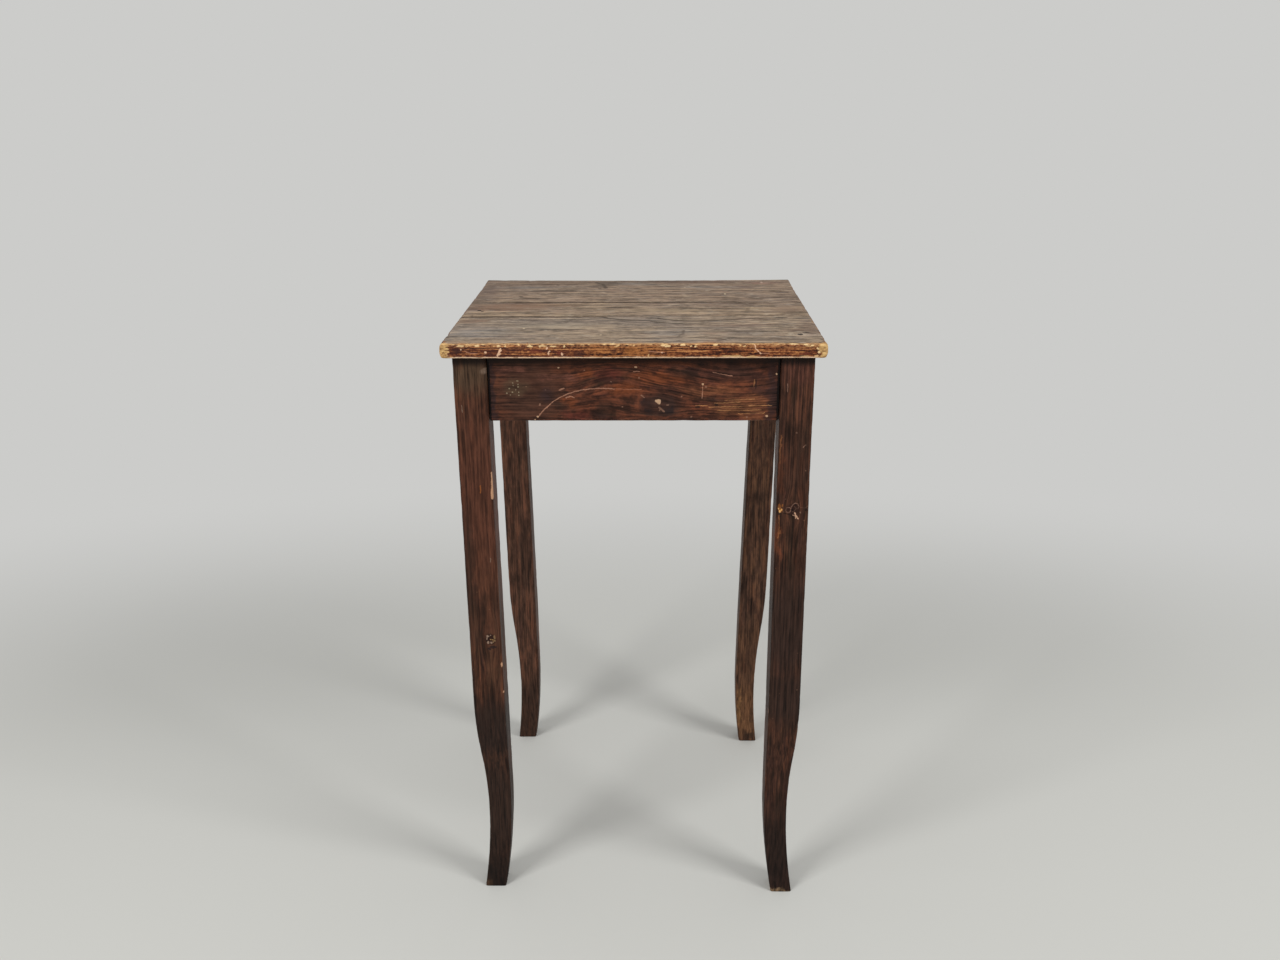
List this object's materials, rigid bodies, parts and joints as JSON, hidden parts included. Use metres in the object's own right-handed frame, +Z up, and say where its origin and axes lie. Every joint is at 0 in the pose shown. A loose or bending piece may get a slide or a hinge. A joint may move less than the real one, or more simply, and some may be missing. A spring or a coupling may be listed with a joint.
{
  "type": "tavern table",
  "caption": "Small square wooden tavern table with a plank top, plain aprons and tapered cabriole-like legs that curve in at the ankle and out at the foot.",
  "frame": {"origin": "on the floor, under the middle of the top", "axes": "+Z up; +X along the front edge to the right as seen from the front; +Y from the front to the back"},
  "size_m": [0.436, 0.404, 0.75],
  "materials": {
    "top_wood": "bare weathered softwood, grey-brown and matt, with pale worn arrises",
    "leg_wood": "very dark brown stain with a reddish streak, worn dull",
    "apron_wood": "dark red-brown stain over a figured board, thin old varnish",
    "block_wood": "bare sawn softwood, darkened with age",
    "dowel_wood": "bare turned hardwood",
    "screw_steel": "dull old steel"
  },
  "bodies": {
    "root": {"top_board_front": "top_wood", "top_board_middle": "top_wood", "top_board_back": "top_wood", "leg_front_left": "leg_wood", "leg_front_right": "leg_wood", "leg_back_right": "leg_wood", "leg_back_left": "leg_wood", "apron_front": "apron_wood", "apron_right": "apron_wood", "apron_back": "apron_wood", "apron_left": "apron_wood", "corner_block_front_left": "block_wood", "corner_block_front_right": "block_wood", "corner_block_back_right": "block_wood", "corner_block_back_left": "block_wood", "glue_block_front_left": "block_wood", "glue_block_front_right": "block_wood", "glue_block_back_left": "block_wood", "glue_block_back_right": "block_wood", "glue_block_left": "block_wood", "glue_block_right": "block_wood", "front_seam_dowels": "dowel_wood", "back_seam_dowels": "dowel_wood", "top_screws": "screw_steel", "corner_block_screws": "screw_steel"}
  },
  "joints": []
}
